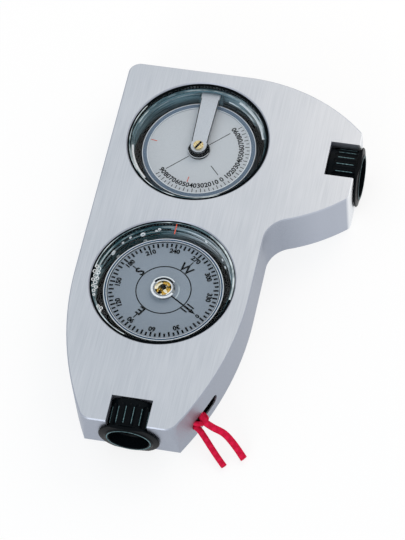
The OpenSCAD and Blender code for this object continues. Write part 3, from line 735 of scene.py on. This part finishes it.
# edge scale of the card, read through the eyepiece
edgeScale = {"radius": 16.62 * mm, "numberSize": 1.6 * mm, "numberLevel": 7.3 * mm,
             "tickTop": 10.4 * mm, "tickLong": 1.6 * mm, "tickShort": 1 * mm, "tickWide": 0.14 * mm}


def onEdge(degree, height):
    return onSkirt(compassAxis, card["north"] - degree, edgeScale["radius"], height)


tens = range(0, 360, 10)
between = [degree for degree in range(0, 360, 2) if degree % 10]
marks = [placed(inkText(str(degree), edgeScale["numberSize"]),
                onEdge(degree, edgeScale["numberLevel"])) for degree in tens]
for degrees, long in ((tens, edgeScale["tickLong"]), (between, edgeScale["tickShort"])):
    marks += repeated(inkBar(edgeScale["tickWide"], long),
                      [onEdge(degree, edgeScale["tickTop"] - long / 2) for degree in degrees])
joined("cardEdgeScale", marks, blackInkAndShade, "card")
print("compass card printed")

# clinometer dial print, with a painted highlight on the hub ring and painted shade over the screw slot
dial = {
    "zero": -46.5, "tickOuter": 14.3 * mm, "tickLong": 1.2 * mm, "tickShort": 0.8 * mm,
    "tickWide": 0.2 * mm, "numberRadius": 12.1 * mm, "numberSize": 2.05 * mm, "lineWide": 0.2 * mm,
    # scale degree, inner and outer end of each line in mm
    "lines": ((-90, 3.4, 11), (90, 3.4, 10.4), (0, 6.4, 10.2)),
    # scale degree and radius of the red marks
    "redMarks": ((220, 13.4 * mm), (-49.5, 10.2 * mm)), "redLong": 1.8 * mm, "redWide": 0.22 * mm,
    # radius and width in mm, ink
    "rimRings": ((16.22, 0.14, blackInkAndShade), (16.06, 0.16, paleInkAndHighlight), (14.7, 0.18, paleInkAndHighlight)),
    # painted highlight arc on the hub ring, then the painted shade bar over the screw slot
    "hubRadius": 3 * mm, "hubWide": 0.14 * mm, "hubFrom": 195, "hubTo": 345,
    "screwTurn": 62, "slotLong": 2.7 * mm, "slotWide": 0.62 * mm,
}
dialTop = topOf("clino_dial")


def onDial(degree, radius, spin=0):
    return turnedTo(clinoAxis, dial["zero"] + degree, radius, dialTop, spin)


marks = []
for first, long in ((-90, dial["tickLong"]), (-85, dial["tickShort"])):
    marks += repeated(inkBar(long, dial["tickWide"]),
                      [onDial(degree, dial["tickOuter"] - long / 2)
                       for degree in range(first, 91, 10)])
for degree in range(-90, 91, 10):
    marks.append(placed(inkText(str(abs(degree)), dial["numberSize"]),
                        onDial(degree, dial["numberRadius"], 90)))
for degree, inner, outer in dial["lines"]:
    marks.append(placed(inkBar((outer - inner) * mm, dial["lineWide"]),
                        onDial(degree, (outer + inner) / 2 * mm)))
joined("dialPrint", marks, blackInkAndShade, "wheel")
marks = repeated(inkBar(dial["redLong"], dial["redWide"]),
                 [onDial(degree, radius) for degree, radius in dial["redMarks"]])
joined("dialMarks", marks, inkRed, "wheel")
rimRings("wheelRimLine", clinoAxis, topOf("clino_scale_ring"), dial["rimRings"],
         "wheel")
# painted highlight: a pale arc on the black hub ring
hubReflection = inkArc(dial["hubRadius"], dial["hubWide"], dial["hubFrom"], dial["hubTo"])
joined("hubRingHighlight", [placed(hubReflection, above(clinoAxis, topOf("clino_hub_ring")))],
       paleInkAndHighlight, "wheel")
# painted shade: a dark bar over the slot of the bearing screw
joined("screwSlotShade", [placed(inkBar(dial["slotLong"], dial["slotWide"]),
                                 turnedTo(clinoAxis, dial["screwTurn"], 0,
                                          topOf("clino_bearing_screw")))],
       blackInkAndShade, "body")
print("clinometer dial printed")

# painted highlights on the compass capsule: small pale rings on its dark wall
wallHighlights = {
    "radius": 18.25 * mm, "round": 0.68 * mm, "thick": 0.3 * mm,
    # angle, height in mm, size
    "places": ((120, 12.4, 0.78), (118.8, 8.9, 0.6), (151.3, 12.1, 0.82), (146.6, 8.4, 0.6),
               (131.6, 13.3, 0.42), (139.5, 12.9, 0.42), (107.8, 12.7, 0.4), (105, 13.3, 0.5),
               (61, 12.9, 0.5), (38, 12.2, 0.5), (33, 10.6, 0.55)),
}
bpy.ops.mesh.primitive_torus_add(major_radius=wallHighlights["round"], minor_radius=wallHighlights["thick"],
                                 major_segments=20, minor_segments=8, location=(0, 0, 0))
marks = repeated(bpy.context.object,
                 [onSkirt(compassAxis, angle, wallHighlights["radius"], height * mm) @ Matrix.Scale(size, 4)
                  for angle, height, size in wallHighlights["places"]])
joined("capsuleWallHighlights", marks, paleInkAndHighlight, "body")

# painted highlights and painted dark reflections along the edges of the lids and capsules;
# radius and width in mm, height above the lid's top in mm, first and last angle, material
edges = {
    "compass": ((19.5, 0.5, 0.12, -8, 78, edgeGlint), (19.35, 0.22, 0.12, 78, 175, edgeGlint),
                (18.75, 0.3, -1.2, 20, 190, edgeGlint), (18.7, 0.3, -1.8, 15, 80, paleInkAndHighlight),
                (18.35, 0.16, -2.6, 20, 105, blackInkAndShade), (18.5, 0.4, -1.9, 95, 168, blackInkAndShade),
                (18.4, 0.2, -2.7, 100, 165, edgeGlint), (18.4, 0.4, -3.9, 105, 168, blackInkAndShade),
                (19.3, 0.2, 0.12, 190, 250, edgeGlint)),
    "clino": ((18.7, 0.34, -1.2, 15, 180, edgeGlint), (18.4, 0.18, -2.6, 85, 190, edgeGlint),
              (18.5, 0.5, -1.2, 190, 228, paleInkAndHighlight), (18.4, 0.8, -1.8, 15, 62, paleInkAndHighlight),
              (17.5, 0.4, -2.8, 34, 72, edgeGlint), (19.35, 0.2, 0.12, 150, 300, edgeGlint)),
}
for name, centre in (("compass", compassAxis), ("clino", clinoAxis)):
    for number, (radius, wide, height, start, end, material) in enumerate(edges[name]):
        arc = placed(inkArc(radius * mm, wide * mm, start, end),
                     above(centre, topOf(f"{name}_lid") + height * mm))
        joined(f"{name}EdgeLine{number}", [arc], material, "body")

# painted shade along the edges of the bracket, which runs a little wider to its foot
bracket = {"long": 15.2 * mm, "wide": 0.2 * mm, "start": 1.2 * mm, "half": 2.33 * mm, "lean": 1.55,
           "endRadius": 2.42 * mm, "endFrom": 185, "endTo": 355}
armTop = above(clinoAxis, topOf("clino_bracket"))
roundEnd = inkArc(bracket["endRadius"], bracket["wide"], bracket["endFrom"], bracket["endTo"])
marks = [placed(roundEnd, armTop)]
marks += repeated(inkBar(bracket["wide"], bracket["long"]),
                  [armTop @ Matrix.Translation((side * bracket["half"],
                                                bracket["long"] / 2 + bracket["start"], 0))
                   @ Matrix.Rotation(math.radians(-side * bracket["lean"]), 4, "Z")
                   for side in (-1, 1)])
joined("bracketEdgeShade", marks, blackInkAndShade, "body")

# painted highlights on the eyepieces: a thin light line round each eye flange and along each rib
eyes = {"ribs": 21, "ribRadius": 7.3 * mm, "ribLong": 4.8 * mm, "ribLevel": -3.2 * mm,
        "ribWide": 0.16 * mm, "rimRadius": 6.02 * mm, "rimWide": 0.26 * mm, "rimLevel": 1.35 * mm}
for name in ("compass", "clino"):
    joint = joints[f"{name}_focus_turn"]
    outward = Vector(joint["axis"]).to_track_quat("Z", "Y").to_matrix().to_4x4()
    eyePlace = Matrix.Translation(joint["pos_m"]) @ outward
    spins = [90 + (number + 0.5) * 360 / eyes["ribs"] for number in range(eyes["ribs"])]
    marks = repeated(inkBar(eyes["ribLong"], eyes["ribWide"]),
                     [eyePlace @ turnedTo((0, 0, 0), spin, eyes["ribRadius"], eyes["ribLevel"])
                      @ Matrix.Rotation(math.radians(90), 4, "Y") for spin in spins])
    marks.append(placed(inkRing(eyes["rimRadius"], eyes["rimWide"]),
                        eyePlace @ Matrix.Translation((0, 0, eyes["rimLevel"]))))
    joined(f"{name}EyeHighlights", marks, eyeHighlight, f"{name}_focus")

# painted reflections: a knot of pale swirls at the left of the compass lid; angle, radius and size in
# mm
swirls = {
    "thick": 0.1 * mm,
    "places": ((174, 18.9, 0.4), (176, 18.2, 0.55), (179, 19.1, 0.45), (180, 17.9, 0.4),
               (183, 18.5, 0.6), (186, 17.9, 0.4), (187, 19.1, 0.4), (190, 18.4, 0.5),
               (193, 19, 0.35), (195, 18.2, 0.4), (198, 18.9, 0.4), (202, 19, 0.3),
               (214, 18.9, 0.35), (217, 18.4, 0.4), (219, 19, 0.25)),
}
marks = []
for angle, radius, size in swirls["places"]:
    bpy.ops.mesh.primitive_torus_add(major_radius=size * mm, minor_radius=swirls["thick"],
                                     major_segments=16, minor_segments=6, location=(0, 0, 0))
    marks.append(placed(bpy.context.object,
                        turnedTo(compassAxis, angle, radius * mm,
                                 topOf("compass_gasket") + ink["lift"])))
joined("lidReflectionSwirls", marks, paleInkAndHighlight, "body")

# short upright painted glint lines on the wall of the compass capsule: angle, height and length in mm
ribs = {
    "radius": 18.7 * mm, "wide": 0.3 * mm,
    "places": ((125, 13.6, 1.8), (133, 13.4, 1.8), (140, 12.6, 1.6), (149, 13.2, 1.8),
               (156, 12.2, 2.6), (161, 13.2, 2.2), (166, 12, 2.6), (112, 13.6, 1.4)),
}
marks = [placed(inkBar(ribs["wide"], long * mm),
                onSkirt(compassAxis, angle, ribs["radius"], height * mm))
         for angle, height, long in ribs["places"]]
joined("capsuleGlintLines", marks, edgeGlint, "body")

# lubber line on the clear rim of the compass
lubber = {"long": 3.4 * mm, "wide": 0.28 * mm, "angle": 90, "radius": 17.5 * mm}
joined("lubberLine", [placed(inkBar(lubber["long"], lubber["wide"]),
                             turnedTo(compassAxis, lubber["angle"], lubber["radius"],
                                      topOf("compass_lid")))],
       inkRed, "body")
print("clear plastic and edges drawn")

# floor, world and lamps
stage = {
    "floorSize": 3.0, "floorLevel": -0.02 * mm, "floorColour": "#f4f5f6",
    "floorWhite": 0.8,  # share of plain white in the floor as the camera sees it
    "world": "#f4f7fa", "worldStrength": 0.94,
    "aim": (0.01, 0.01, 0),
    # name, place, size, power in watts, colour
    "lamps": (("upperRightLamp", (0.14, 0.32, 0.30), 0.25, 0.5, (1.0, 0.8, 0.62)),
              ("frontLamp", (-0.15, -0.8, 0.25), 0.4, 2.3, (1.0, 1.0, 1.0))),
}


def seenDirectly(tree):  # 1 for rays from the camera, from mirrors and through glass
    path = addNode(tree, "ShaderNodeLightPath")
    seen = addNode(tree, "ShaderNodeMath", {"operation": "MAXIMUM"},
                   {0: path.outputs["Is Camera Ray"], 1: path.outputs["Is Glossy Ray"]})
    return addNode(tree, "ShaderNodeMath", {"operation": "MAXIMUM"},
                   {0: seen.outputs[0], 1: path.outputs["Is Transmission Ray"]}).outputs[0]


def paleFloor():  # matt white table that keeps the object's shadow
    material, tree = newMaterial("paleFloor")
    part = addNode(tree, "ShaderNodeMath", {"operation": "MULTIPLY", 1: stage["floorWhite"]},
                   {0: seenDirectly(tree)})
    matt = addNode(tree, "ShaderNodeBsdfDiffuse", {"Color": linear(stage["floorColour"])})
    white = addNode(tree, "ShaderNodeEmission", {"Color": (1, 1, 1, 1), "Strength": 1.0})
    mixed = addNode(tree, "ShaderNodeMixShader",
                    links={0: part.outputs[0], 1: matt.outputs[0], 2: white.outputs[0]})
    addNode(tree, "ShaderNodeOutputMaterial", links={"Surface": mixed.outputs[0]})
    return material


deselectAll()
bpy.ops.mesh.primitive_plane_add(size=stage["floorSize"], location=(0, 0, stage["floorLevel"]))
floor = bpy.context.object
floor.name = "studioFloor"
floor.data.materials.append(paleFloor())

world = bpy.data.worlds.new("studioWorld")
bpy.context.scene.world = world
world.use_nodes = True
worldTree = world.node_tree
worldTree.nodes.clear()
lit = addNode(worldTree, "ShaderNodeBackground",
              {"Color": linear(stage["world"]), "Strength": stage["worldStrength"]})
shown = addNode(worldTree, "ShaderNodeBackground", {"Color": (1, 1, 1, 1), "Strength": 1.0})
mixed = addNode(worldTree, "ShaderNodeMixShader",
                links={0: seenDirectly(worldTree), 1: lit.outputs[0], 2: shown.outputs[0]})
addNode(worldTree, "ShaderNodeOutputWorld", links={"Surface": mixed.outputs[0]})

for name, place, size, power, colour in stage["lamps"]:
    bpy.ops.object.light_add(type="AREA", location=place)
    lamp = bpy.context.object
    lamp.name = name
    lamp.data.size = size
    lamp.data.energy = power
    lamp.data.color = colour
    aim = Vector(stage["aim"]) - Vector(place)
    lamp.rotation_euler = aim.to_track_quat("-Z", "Y").to_euler()
print("stage set")
